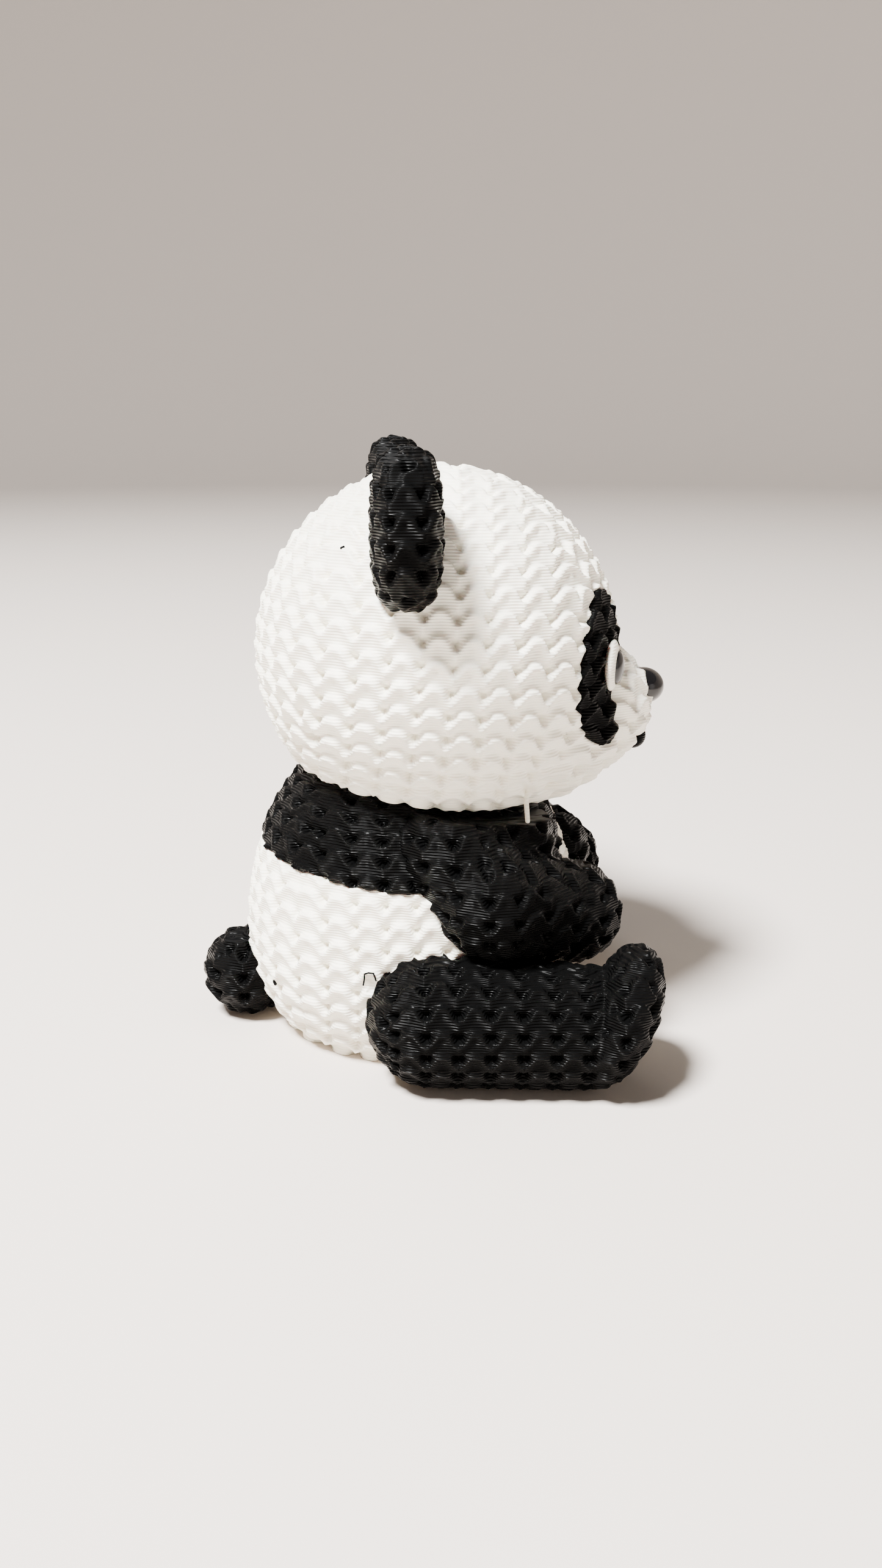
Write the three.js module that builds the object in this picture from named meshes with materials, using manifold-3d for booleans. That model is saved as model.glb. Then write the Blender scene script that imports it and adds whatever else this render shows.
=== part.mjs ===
// Seated toy panda, printed in black and white plastic as pieces that plug into each other.
//
// Millimetres, +Z up. The panda faces -Y and its own left side is +X, so the plane X = 0 mirrors it.
// The origin is the middle of the flat base. Round bodies are ellipsoids, and every piece that meets
// another is cut by it with a clearance, so each face and each peg follows the size of its neighbour.
import * as THREE from 'three';
import { mergeVertices } from 'three/addons/utils/BufferGeometryUtils.js';
import Module from 'manifold-3d';

const wasm = await Module();
wasm.setup();

// ---------------------------------------------------------------- driving sizes

// Clearances
const FACE_GAP = 0.3; // between two faces that lie against each other
const PEG_GAP = 0.2; // round a peg in its socket
const SOCKET_END_GAP = 0.4; // beyond the end of a peg

// Torso: two halves of upright ellipsoids, cut flat at the base and at the neck
const TORSO_RADIUS = 12.9;
const TORSO_WIDEST_Z = 7.6;
const TORSO_HEIGHT_ABOVE = 16.6; // from the widest line to the top of the whole ellipsoid
const TORSO_HEIGHT_BELOW = 12.2;
const YOKE_SEAM_Z = 13.9; // on the axis: white belly below, black shoulders above
const YOKE_SEAM_TILT = 4.5; // degrees, lower at the front
const SPIGOT_RADIUS = 6; // the belly's round boss inside the shoulders
const SPIGOT_HEIGHT = 1.6;
const BIB_TOP_Z = 18; // white chest that narrows upwards between the shoulders
const BIB_HALF_WIDTH = 3; // where it leaves the belly
const BIB_DEPTH = 3;
const BIB_FOOT = 1.5; // the wedge's root inside the belly

// Neck: the head turns on a pin that leans forward
const NECK_Z = 19.5; // where the neck's plane crosses the torso's upright axis
const NECK_TILT = 8.3; // degrees
const PIN_RADIUS = 2.6;
const PIN_FOOT = 8.5; // pin length below the neck's plane, through the shoulders into the belly
const PIN_HEAD = 7; // pin length above it
const PIN_CHAMFER = 0.6;

// Head: an ellipsoid with a muzzle and a full lower face
const HEAD_HALF_WIDTH = 14.3;
const HEAD_HALF_DEPTH = 13.55;
const HEAD_HALF_HEIGHT = 13.5;
const HEAD_RISE = 10; // from the neck's plane to the middle of the head
const HEAD_BACK = 0.5; // middle of the head behind the neck's axis
const MUZZLE_HALF_WIDTH = 7;
const MUZZLE_HALF_DEPTH = 6.6;
const MUZZLE_HALF_HEIGHT = 5.4;
const MUZZLE_FORWARD = 9.85; // from the middle of the head
const MUZZLE_DROP = 4.3;
const CHEEK_HALF_WIDTH = 9.6;
const CHEEK_HALF_DEPTH = 10.8;
const CHEEK_HALF_HEIGHT = 7.6;
const CHEEK_FORWARD = 4.35;
const CHEEK_DROP = 4.6;

// Ears: thick round pads that face forward
const EAR_RADIUS = 5.2;
const EAR_HALF_THICKNESS = 2.15;
const EAR_FULLNESS = 2.6; // 2 gives an ellipsoid, and more gives a flatter face and a blunter rim
const EAR_ANGLE = 38.5; // degrees of the ear above the head's widest line, seen from the front
const EAR_STANDOFF = 1.9; // middle of the ear outside the head
const EAR_BACK = 2.7; // middle of the ear behind the middle of the head

// Eyes: a leaning oval patch, a white disc and a domed pupil
const PATCH_HALF_WIDTH = 4.15;
const PATCH_HALF_HEIGHT = 5.5;
const PATCH_LEAN = 3; // degrees, the lower end outwards
const PATCH_TURN = 30; // degrees of the patch round the head from straight ahead
const PATCH_DROP = 0.6; // middle of the patch below the middle of the head
const PATCH_DEPTH = 1.5; // let into the head
const PATCH_PROUD = 0.15;
const EYE_RADIUS = 1.85;
const EYE_PROUD = 0.15;
const EYE_DEPTH = 0.9;
const EYE_RISE = 0.5; // middle of the eye above the middle of the patch
const EYE_INWARD = 1.1; // and towards the nose
const PUPIL_RADIUS = 1.25;
const PUPIL_PROUD = 0.25;
const PUPIL_DEPTH = 0.5;
const PUPIL_DROP = 0.2; // middle of the pupil below the middle of the eye

// Nose and mouth
const NOSE_HALF_WIDTH = 2;
const NOSE_HALF_DEPTH = 1.5;
const NOSE_HALF_HEIGHT = 1.35;
const NOSE_RISE = 1.2; // above the middle of the muzzle
const NOSE_SUNK = 0.4; // middle of the nose inside the muzzle
const MOUTH_HALF_WIDTH = 1.7;
const MOUTH_DROP = 2.9; // middle of the mouth below the middle of the muzzle
const MOUTH_CURL = 0.7; // ends of the mouth above its middle
const MOUTH_SUNK = 0.35; // middle of the bar inside the muzzle
const MOUTH_THICKNESS = 0.9;

// Arms: bent round the torso, with the paws on the belly
const ARM_RADIUS = 3.8;
const SHOULDER_Z = 16.1;
const SHOULDER_FRONT_TURN = 45; // degrees round the torso from straight ahead
const SHOULDER_SIDE_TURN = 76;
const SHOULDER_OUT = -2; // middle of the arm outside (+) or inside (-) the torso's skin
const ELBOW_Z = 12.9;
const ELBOW_TURN = 65;
const ELBOW_OUT = 0.3;
const PAW_Z = 10.6;
const PAW_TURN = 32;
const PAW_OUT = 0.8;

// Legs: stretched forward on the ground, with upright feet
const LEG_RADIUS = 4.7;
const ANKLE_RADIUS = 3.7;
const LEG_OUT = 0; // middle of the leg outside the torso's skin
const LEG_START = 1; // middle of the leg's round rear end, ahead of the torso's axis
const LEG_LENGTH = 10.5; // from there to the middle of the ankle
const LEG_SPLAY = 6; // degrees, the feet outwards
const FOOT_HALF_WIDTH = 5.1;
const FOOT_HALF_DEPTH = 2.5;
const FOOT_HALF_HEIGHT = 5.3;
const FOOT_TILT = 22; // degrees, the toes forward
const FOOT_FORWARD = 2.6; // middle of the foot ahead of the ankle

// Tail: a ball that rests on the ground
const TAIL_RADIUS = 3.5;
const TAIL_OUT = 0.9; // middle of the ball outside the torso's skin

// Pegs that hold arms, legs, tail and ears
const PEG_RADIUS = 1.5;
const PEG_REACH = 3.6; // length inside the piece that takes the peg
const PEG_WALL = 0.6; // least wall of the shoulders under an arm's peg
const SMALL_PEG_RADIUS = 0.7; // eyes and nose
const SMALL_PEG_REACH = 2.4;
const POCKET_REACH = 5; // length of a cutting rod, well past the head's skin

// Finishes
const WHITE = { color: 0xe9e5dc, roughness: 0.45, metalness: 0 };
const BLACK = { color: 0x1b1b1c, roughness: 0.4, metalness: 0 };
const GLOSS_BLACK = { color: 0x0c0c0d, roughness: 0.12, metalness: 0 };

// Facets
const ROUND = 28; // facets round a large body
const PAD_ROUND = 22; // facets round an ear
const SMALL_ROUND = 16; // facets round a peg, an eye or the nose
const CAP_STEPS = 4; // facets round each end of a bar, from rim to tip
const MOUTH_STEPS = 8; // lengths of the mouth's line
const MOUTH_FACETS = 5; // facets round half of it

// ---------------------------------------------------------------- shapes as solids

const UP = new THREE.Vector3(0, 0, 1);
const rad = THREE.MathUtils.degToRad;
const vec = (x, y, z) => new THREE.Vector3(x, y, z);

/** A closed three.js geometry as a solid, after an optional placement. */
function solid(geometry, placement = new THREE.Matrix4()) {
  const bare = geometry.clone().applyMatrix4(placement);
  bare.deleteAttribute('normal');
  bare.deleteAttribute('uv');
  const merged = mergeVertices(bare);
  const index = merged.index.array;
  const triVerts = [];
  for (let i = 0; i < index.length; i += 3) {
    const [a, b, c] = index.slice(i, i + 3);
    if (a !== b && b !== c && c !== a) triVerts.push(a, b, c);
  }
  return new wasm.Manifold(
    new wasm.Mesh({
      numProp: 3,
      vertProperties: new Float32Array(merged.attributes.position.array),
      triVerts: new Uint32Array(triVerts),
    }),
  );
}

/** A matrix that puts +Z along a direction at a point. */
function along(direction, at) {
  const turn = new THREE.Quaternion().setFromUnitVectors(UP, direction.clone().normalize());
  return new THREE.Matrix4().compose(at, turn, vec(1, 1, 1));
}

/** An ellipsoid with upright poles, tilted forward and then turned; `grow` moves its skin outwards. */
function ellipsoid(half, middle, { grow = 0, tilt = 0, turn = 0, facets = ROUND } = {}) {
  const ball = new THREE.SphereGeometry(1, facets, Math.round(facets * 0.6));
  ball.rotateX(Math.PI / 2);
  ball.scale(half.x + grow, half.y + grow, half.z + grow);
  ball.rotateX(tilt);
  ball.rotateZ(turn);
  return solid(ball, new THREE.Matrix4().setPosition(middle));
}

/** A round-ended bar between two points. */
function capsule(from, to, radius) {
  const length = from.distanceTo(to);
  const bar = new THREE.CapsuleGeometry(radius, length, CAP_STEPS, SMALL_ROUND, 1);
  bar.rotateX(Math.PI / 2);
  const middle = from.clone().add(to).multiplyScalar(0.5);
  return solid(bar, along(to.clone().sub(from), middle));
}

/** A round-ended bar that narrows from one end's radius to the other's. */
function taperedBar(from, to, fromRadius, toRadius) {
  const length = from.distanceTo(to);
  const tangent = Math.asin((fromRadius - toRadius) / length);
  const profile = [new THREE.Vector2(0, -fromRadius)];
  const addArc = (middle, radius, start, end) => {
    for (let i = 0; i <= CAP_STEPS; i += 1) {
      const angle = start + ((end - start) * i) / CAP_STEPS;
      profile.push(new THREE.Vector2(radius * Math.cos(angle), middle + radius * Math.sin(angle)));
    }
  };
  const firstStep = Math.PI / 2 / CAP_STEPS;
  addArc(0, fromRadius, -Math.PI / 2 + firstStep, tangent);
  addArc(length, toRadius, tangent, Math.PI / 2 - firstStep);
  profile.push(new THREE.Vector2(0, length + toRadius));
  const bar = new THREE.LatheGeometry(profile, SMALL_ROUND).rotateX(Math.PI / 2);
  return solid(bar, along(to.clone().sub(from), from));
}

/** A round rod from a point along a direction. */
function rod(from, direction, length, radius, facets = SMALL_ROUND) {
  const bar = new THREE.CylinderGeometry(radius, radius, length, facets);
  bar.rotateX(Math.PI / 2);
  bar.translate(0, 0, length / 2);
  return solid(bar, along(direction, from));
}

/** A peg and the socket it goes into, from a point along a direction. */
function pegAndSocket(from, direction, length, radius) {
  return {
    peg: rod(from, direction, length, radius),
    socket: rod(from, direction, length + SOCKET_END_GAP, radius + PEG_GAP),
  };
}

/** All space on the far side of a plane: `towards` points into the kept space. */
function halfSpace(point, towards) {
  const reach = 200;
  const block = new THREE.BoxGeometry(reach, reach, reach);
  block.translate(0, 0, reach / 2);
  return solid(block, along(towards, point));
}

/** A domed button on a short stem; its flange lies in the plane Z = 0 and the dome rises along +Z. */
function button(radius, dome, sink) {
  const profile = [new THREE.Vector2(0, -sink), new THREE.Vector2(radius, -sink)];
  const steps = 6;
  for (let i = 0; i < steps; i += 1) {
    const angle = (i / steps) * (Math.PI / 2);
    profile.push(new THREE.Vector2(radius * Math.cos(angle), dome * Math.sin(angle)));
  }
  profile.push(new THREE.Vector2(0, dome));
  return new THREE.LatheGeometry(profile, SMALL_ROUND).rotateX(Math.PI / 2);
}

/** A round pad with its axis along Y, thick up to a blunt rim. */
function pad(radius, halfThickness, fullness) {
  const profile = [];
  const steps = 7;
  for (let i = -steps; i <= steps; i += 1) {
    const angle = (i / steps) * (Math.PI / 2);
    const share = 2 / fullness;
    const across = i === -steps || i === steps ? 0 : radius * Math.cos(angle) ** share;
    const through = Math.sign(i) * halfThickness * Math.abs(Math.sin(angle)) ** share;
    profile.push(new THREE.Vector2(across, through));
  }
  return new THREE.LatheGeometry(profile, PAD_ROUND);
}

/** A named mesh from a solid. */
function piece(name, body, finish) {
  const { numProp, vertProperties, triVerts } = body.getMesh();
  const positions = [];
  for (let i = 0; i < vertProperties.length; i += numProp) {
    positions.push(vertProperties[i], vertProperties[i + 1], vertProperties[i + 2]);
  }
  const geometry = new THREE.BufferGeometry();
  geometry.setAttribute('position', new THREE.Float32BufferAttribute(positions, 3));
  geometry.setIndex(Array.from(triVerts));
  geometry.computeVertexNormals();
  const mesh = new THREE.Mesh(geometry, new THREE.MeshStandardMaterial(finish));
  mesh.name = name;
  return mesh;
}

// ---------------------------------------------------------------- places

const sides = { left: 1, right: -1 };

/** Radius of the torso at a height. */
function torsoRadius(z) {
  const height = z > TORSO_WIDEST_Z ? TORSO_HEIGHT_ABOVE : TORSO_HEIGHT_BELOW;
  return TORSO_RADIUS * Math.sqrt(1 - ((z - TORSO_WIDEST_Z) / height) ** 2);
}

/** The whole torso; `grow` moves its skin outwards. */
function torsoForm(grow) {
  const radius = TORSO_RADIUS + grow;
  const steps = 9;
  const profile = [];
  for (let i = -steps; i <= steps; i += 1) {
    const angle = (i / steps) * (Math.PI / 2);
    const height = (i < 0 ? TORSO_HEIGHT_BELOW : TORSO_HEIGHT_ABOVE) + grow;
    const onAxis = Math.abs(i) === steps;
    profile.push(new THREE.Vector2(onAxis ? 0 : radius * Math.cos(angle), height * Math.sin(angle)));
  }
  const turned = new THREE.LatheGeometry(profile, ROUND).rotateX(Math.PI / 2);
  return solid(turned, new THREE.Matrix4().setPosition(vec(0, 0, TORSO_WIDEST_Z)));
}

/** A point near the torso's skin: `turn` degrees round from straight ahead, `out` outside the skin. */
function onTorso(side, z, turn, out) {
  const radius = torsoRadius(z) + out;
  return vec(side * radius * Math.sin(rad(turn)), -radius * Math.cos(rad(turn)), z);
}

const neckTilt = rad(NECK_TILT);
const neckAxis = vec(0, -Math.sin(neckTilt), Math.cos(neckTilt));

/** Middle of the oval in which the neck's plane cuts the torso. */
function neckMiddle() {
  const slope = Math.tan(neckTilt);
  const rise = NECK_Z - TORSO_WIDEST_Z;
  const flat = 1 / TORSO_RADIUS ** 2;
  const upright = 1 / TORSO_HEIGHT_ABOVE ** 2;
  const y = (-slope * rise * upright) / (flat + slope ** 2 * upright);
  return vec(0, y, NECK_Z + slope * y);
}

const neck = neckMiddle();
const headHalf = vec(HEAD_HALF_WIDTH, HEAD_HALF_DEPTH, HEAD_HALF_HEIGHT);
const headMiddle = neck.clone().addScaledVector(neckAxis, HEAD_RISE).add(vec(0, HEAD_BACK, 0));
const muzzleHalf = vec(MUZZLE_HALF_WIDTH, MUZZLE_HALF_DEPTH, MUZZLE_HALF_HEIGHT);
const muzzleMiddle = headMiddle.clone().add(vec(0, -MUZZLE_FORWARD, -MUZZLE_DROP));
const cheekHalf = vec(CHEEK_HALF_WIDTH, CHEEK_HALF_DEPTH, CHEEK_HALF_HEIGHT);
const cheekMiddle = headMiddle.clone().add(vec(0, -CHEEK_FORWARD, -CHEEK_DROP));

/** Distance from an ellipsoid's middle to its skin along a direction. */
function reachOf(half, direction) {
  return 1 / Math.hypot(direction.x / half.x, direction.y / half.y, direction.z / half.z);
}

/** The front of the muzzle at a distance to the side and above its middle. */
function muzzleFront(x, rise) {
  const share = 1 - (x / MUZZLE_HALF_WIDTH) ** 2 - (rise / MUZZLE_HALF_HEIGHT) ** 2;
  return muzzleMiddle.clone().add(vec(x, -MUZZLE_HALF_DEPTH * Math.sqrt(share), rise));
}

// ---------------------------------------------------------------- torso, shoulders and neck pin

const torsoClearance = torsoForm(FACE_GAP);
const halfGap = FACE_GAP / 2;

/** The upright wedge of chest between the shoulders; `grow` moves its sloping sides and back outwards. */
function bibWedge(grow) {
  const foot = YOKE_SEAM_Z - BIB_FOOT;
  const slant = BIB_HALF_WIDTH / (BIB_TOP_Z - YOKE_SEAM_Z);
  const top = BIB_TOP_Z + (grow * Math.hypot(1, slant)) / slant;
  const halfFoot = (top - foot) * slant;
  const front = new THREE.Shape([
    new THREE.Vector2(-halfFoot, foot),
    new THREE.Vector2(halfFoot, foot),
    new THREE.Vector2(0, top),
  ]);
  const wedge = new THREE.ExtrudeGeometry(front, { depth: 2 * TORSO_RADIUS, bevelEnabled: false });
  wedge.rotateX(Math.PI / 2);
  const back = -torsoRadius(YOKE_SEAM_Z) + BIB_DEPTH + grow;
  return solid(wedge, new THREE.Matrix4().setPosition(vec(0, back, 0)));
}

/** The side of the seam between belly and shoulders that `towards` names: 1 above, -1 below. */
function besideSeam(towards) {
  const tilt = rad(YOKE_SEAM_TILT);
  const normal = vec(0, -Math.sin(tilt), Math.cos(tilt)).multiplyScalar(towards);
  return halfSpace(vec(0, 0, YOKE_SEAM_Z).addScaledVector(normal, halfGap), normal);
}

/** The torso below the neck's plane. */
function torsoUnderNeck() {
  const below = neck.clone().addScaledVector(neckAxis, -halfGap);
  return torsoForm(0).intersect(halfSpace(below, neckAxis.clone().negate()));
}

function buildBelly() {
  const spigotFoot = vec(0, 0, YOKE_SEAM_Z - SPIGOT_HEIGHT);
  return torsoForm(0)
    .intersect(halfSpace(vec(0, 0, 0), UP))
    .intersect(besideSeam(-1))
    .add(rod(spigotFoot, UP, 2 * SPIGOT_HEIGHT, SPIGOT_RADIUS, ROUND))
    .add(torsoUnderNeck().intersect(bibWedge(0)));
}

function buildYoke() {
  const recessFoot = vec(0, 0, YOKE_SEAM_Z - SPIGOT_HEIGHT);
  const recess = rod(recessFoot, UP, 2 * SPIGOT_HEIGHT + SOCKET_END_GAP, SPIGOT_RADIUS + PEG_GAP, ROUND);
  return torsoUnderNeck()
    .intersect(besideSeam(1))
    .subtract(bibWedge(FACE_GAP))
    .subtract(recess);
}

function buildNeckPin() {
  const profile = [
    new THREE.Vector2(0, -PIN_FOOT),
    new THREE.Vector2(PIN_RADIUS - PIN_CHAMFER, -PIN_FOOT),
    new THREE.Vector2(PIN_RADIUS, -PIN_FOOT + PIN_CHAMFER),
    new THREE.Vector2(PIN_RADIUS, PIN_HEAD - PIN_CHAMFER),
    new THREE.Vector2(PIN_RADIUS - PIN_CHAMFER, PIN_HEAD),
    new THREE.Vector2(0, PIN_HEAD),
  ];
  const turned = new THREE.LatheGeometry(profile, SMALL_ROUND).rotateX(Math.PI / 2);
  return solid(turned, along(neckAxis, neck));
}

const pinFoot = neck.clone().addScaledVector(neckAxis, -PIN_FOOT - SOCKET_END_GAP);
const pinBore = rod(pinFoot, neckAxis, PIN_FOOT + PIN_HEAD + 2 * SOCKET_END_GAP, PIN_RADIUS + PEG_GAP);

// ---------------------------------------------------------------- arms, legs and tail

/** A leg with its foot, before the torso is cut out of it. */
function legForm(side, grow) {
  const across = side * (torsoRadius(LEG_RADIUS) + LEG_OUT);
  const hip = vec(across, -LEG_START, LEG_RADIUS);
  const ahead = vec(side * Math.sin(rad(LEG_SPLAY)), -Math.cos(rad(LEG_SPLAY)), 0);
  const ankle = hip.clone().addScaledVector(ahead, LEG_LENGTH).setZ(ANKLE_RADIUS);
  const footHalf = vec(FOOT_HALF_WIDTH, FOOT_HALF_DEPTH, FOOT_HALF_HEIGHT);
  const footMiddle = ankle.clone().setZ(FOOT_HALF_HEIGHT).addScaledVector(ahead, FOOT_FORWARD);
  const foot = ellipsoid(footHalf, footMiddle, {
    grow,
    tilt: rad(FOOT_TILT),
    turn: side * rad(LEG_SPLAY),
    facets: SMALL_ROUND,
  });
  return { hip, form: taperedBar(hip, ankle, LEG_RADIUS + grow, ANKLE_RADIUS + grow).add(foot) };
}

function buildLeg(side) {
  const { hip, form } = legForm(side, 0);
  const { peg, socket } = pegAndSocket(hip, vec(-side, 0, 0), LEG_OUT + PEG_REACH, PEG_RADIUS);
  const onGround = halfSpace(vec(0, 0, 0), UP);
  return { body: form.subtract(torsoClearance).add(peg).intersect(onGround), socket };
}

function buildArm(side) {
  const chest = onTorso(side, SHOULDER_Z, SHOULDER_FRONT_TURN, SHOULDER_OUT);
  const shoulder = onTorso(side, SHOULDER_Z, SHOULDER_SIDE_TURN, SHOULDER_OUT);
  const elbow = onTorso(side, ELBOW_Z, ELBOW_TURN, ELBOW_OUT);
  const paw = onTorso(side, PAW_Z, PAW_TURN, PAW_OUT);
  const underNeck = halfSpace(neck.clone().addScaledVector(neckAxis, -FACE_GAP), neckAxis.clone().negate());
  const form = capsule(chest, shoulder, ARM_RADIUS)
    .add(capsule(shoulder, elbow, ARM_RADIUS))
    .add(capsule(elbow, paw, ARM_RADIUS))
    .subtract(torsoClearance)
    .subtract(legForm(side, FACE_GAP).form)
    .intersect(underNeck);
  const pegZ = YOKE_SEAM_Z + halfGap + PEG_WALL + PEG_GAP + PEG_RADIUS;
  const root = onTorso(side, pegZ, SHOULDER_SIDE_TURN, 1);
  const inward = vec(-root.x, -root.y, 0);
  const { peg, socket } = pegAndSocket(root, inward, 1 + PEG_REACH, PEG_RADIUS);
  return { body: form.add(peg), socket };
}

function buildTail() {
  const middle = vec(0, torsoRadius(TAIL_RADIUS) + TAIL_OUT, TAIL_RADIUS);
  const half = vec(TAIL_RADIUS, TAIL_RADIUS, TAIL_RADIUS);
  const ball = ellipsoid(half, middle, { facets: SMALL_ROUND }).subtract(torsoClearance);
  const { peg, socket } = pegAndSocket(middle, vec(0, -1, 0), TAIL_OUT + PEG_REACH, PEG_RADIUS);
  return { body: ball.add(peg), socket };
}

// ---------------------------------------------------------------- head and face

/** Head and cheeks without the muzzle; `grow` moves the skin outwards. */
function faceForm(grow) {
  return ellipsoid(headHalf, headMiddle, { grow }).add(ellipsoid(cheekHalf, cheekMiddle, { grow }));
}

function muzzleForm(grow) {
  return ellipsoid(muzzleHalf, muzzleMiddle, { grow, facets: SMALL_ROUND });
}

function buildEar(side) {
  const outward = vec(side * Math.cos(rad(EAR_ANGLE)), 0, Math.sin(rad(EAR_ANGLE)));
  const middle = headMiddle
    .clone()
    .addScaledVector(outward, reachOf(headHalf, outward) + EAR_STANDOFF)
    .add(vec(0, EAR_BACK, 0));
  const place = new THREE.Matrix4().setPosition(middle);
  const body = solid(pad(EAR_RADIUS, EAR_HALF_THICKNESS, EAR_FULLNESS), place);
  const inward = outward.clone().negate();
  const { peg, socket } = pegAndSocket(middle, inward, EAR_STANDOFF + PEG_REACH, PEG_RADIUS);
  return { body: body.subtract(ellipsoid(headHalf, headMiddle, { grow: FACE_GAP })).add(peg), socket };
}

/** The oval column in which an eye patch lies. */
function patchColumn(side, grow) {
  const column = new THREE.CylinderGeometry(1, 1, HEAD_HALF_DEPTH * 2, SMALL_ROUND);
  column.rotateX(Math.PI / 2);
  column.translate(0, 0, HEAD_HALF_DEPTH);
  column.scale(PATCH_HALF_WIDTH + grow, PATCH_HALF_HEIGHT + grow, 1);
  column.rotateZ(side * rad(PATCH_LEAN));
  column.rotateX(Math.PI / 2);
  column.rotateZ(side * rad(PATCH_TURN));
  const middle = headMiddle.clone().add(vec(0, 0, -PATCH_DROP));
  return solid(column, new THREE.Matrix4().setPosition(middle));
}

/** Patch, eye and pupil of one side, with the pocket that they need in the head. */
function buildEye(side) {
  const lookOut = vec(side * Math.sin(rad(PATCH_TURN)), -Math.cos(rad(PATCH_TURN)), 0);
  const across = vec(-side * Math.cos(rad(PATCH_TURN)), -Math.sin(rad(PATCH_TURN)), 0);
  const patchMiddle = headMiddle.clone().add(vec(0, 0, -PATCH_DROP));
  const eyeAxisFoot = patchMiddle.clone().addScaledVector(across, EYE_INWARD).add(vec(0, 0, EYE_RISE));
  const gaze = eyeAxisFoot
    .clone()
    .addScaledVector(lookOut, reachOf(headHalf, lookOut))
    .sub(headMiddle)
    .normalize();
  const skin = headMiddle.clone().addScaledVector(gaze, reachOf(headHalf, gaze) + PATCH_PROUD);
  const pupilSeat = skin.clone().addScaledVector(gaze, EYE_PROUD).add(vec(0, 0, -PUPIL_DROP));

  const pocketFloor = faceForm(-PATCH_DEPTH - FACE_GAP);
  const patchPocket = patchColumn(side, FACE_GAP).subtract(pocketFloor).subtract(muzzleForm(0));
  const eyeFoot = skin.clone().addScaledVector(gaze, -EYE_DEPTH - FACE_GAP);
  const eyePocket = rod(eyeFoot, gaze, POCKET_REACH, EYE_RADIUS + PEG_GAP);
  const pupilFoot = pupilSeat.clone().addScaledVector(gaze, -PUPIL_DEPTH - FACE_GAP);
  const pupilPocket = rod(pupilFoot, gaze, POCKET_REACH, PUPIL_RADIUS + PEG_GAP);
  const patch = patchColumn(side, 0)
    .intersect(faceForm(PATCH_PROUD))
    .subtract(faceForm(-PATCH_DEPTH))
    .subtract(muzzleForm(FACE_GAP))
    .subtract(eyePocket);
  const eye = solid(button(EYE_RADIUS, EYE_PROUD, EYE_DEPTH), along(gaze, skin)).subtract(pupilPocket);
  const pupil = solid(button(PUPIL_RADIUS, PUPIL_PROUD, PUPIL_DEPTH), along(gaze, pupilSeat));
  return { patch, eye, pupil, pocket: patchPocket.add(eyePocket) };
}

function buildNose() {
  const middle = muzzleFront(0, NOSE_RISE).add(vec(0, NOSE_SUNK, 0));
  const half = vec(NOSE_HALF_WIDTH, NOSE_HALF_DEPTH, NOSE_HALF_HEIGHT);
  const reach = NOSE_HALF_DEPTH + SMALL_PEG_REACH;
  const { peg, socket } = pegAndSocket(middle, vec(0, 1, 0), reach, SMALL_PEG_RADIUS);
  const dome = ellipsoid(half, middle, { facets: SMALL_ROUND });
  const seat = ellipsoid(half, middle, { grow: FACE_GAP, facets: SMALL_ROUND });
  return { body: dome.add(peg), pocket: seat.add(socket) };
}

/** The mouth's curved line on the muzzle, as a bar of a given thickness. */
function mouthBar(thickness) {
  const bend = [-1, -0.5, 0, 0.5, 1].map((share) =>
    muzzleFront(share * MOUTH_HALF_WIDTH, MOUTH_CURL * share ** 2 - MOUTH_DROP).add(vec(0, MOUTH_SUNK, 0)),
  );
  const ends = thickness - MOUTH_THICKNESS;
  bend[0].x -= ends;
  bend[bend.length - 1].x += ends;
  const line = new THREE.CatmullRomCurve3(bend);
  const section = new THREE.Shape().absarc(0, 0, thickness / 2, 0, Math.PI * 2);
  const sweep = {
    steps: MOUTH_STEPS,
    curveSegments: MOUTH_FACETS,
    extrudePath: line,
    bevelEnabled: false,
  };
  return solid(new THREE.ExtrudeGeometry(section, sweep));
}

// ---------------------------------------------------------------- assembly

const arms = { left: buildArm(sides.left), right: buildArm(sides.right) };
const legs = { left: buildLeg(sides.left), right: buildLeg(sides.right) };
const ears = { left: buildEar(sides.left), right: buildEar(sides.right) };
const eyes = { left: buildEye(sides.left), right: buildEye(sides.right) };
const tail = buildTail();
const nose = buildNose();

const belly = buildBelly()
  .subtract(pinBore)
  .subtract(legs.left.socket)
  .subtract(legs.right.socket)
  .subtract(tail.socket);
const yoke = buildYoke().subtract(arms.left.socket).subtract(arms.right.socket).subtract(pinBore);
const head = faceForm(0)
  .add(muzzleForm(0))
  .intersect(halfSpace(neck.clone().addScaledVector(neckAxis, halfGap), neckAxis))
  .subtract(pinBore)
  .subtract(ears.left.socket)
  .subtract(ears.right.socket)
  .subtract(eyes.left.pocket)
  .subtract(eyes.right.pocket)
  .subtract(nose.pocket)
  .subtract(mouthBar(MOUTH_THICKNESS + 2 * FACE_GAP));

const torsoGroup = new THREE.Group();
torsoGroup.add(piece('lower_torso', belly, WHITE));
torsoGroup.add(piece('shoulder_yoke', yoke, BLACK));
torsoGroup.add(piece('neck_pin', buildNeckPin(), BLACK));
torsoGroup.add(piece('tail', tail.body, BLACK));

const headGroup = new THREE.Group();
headGroup.add(piece('head', head, WHITE));
headGroup.add(piece('nose', nose.body, GLOSS_BLACK));
headGroup.add(piece('mouth', mouthBar(MOUTH_THICKNESS), BLACK));

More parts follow.
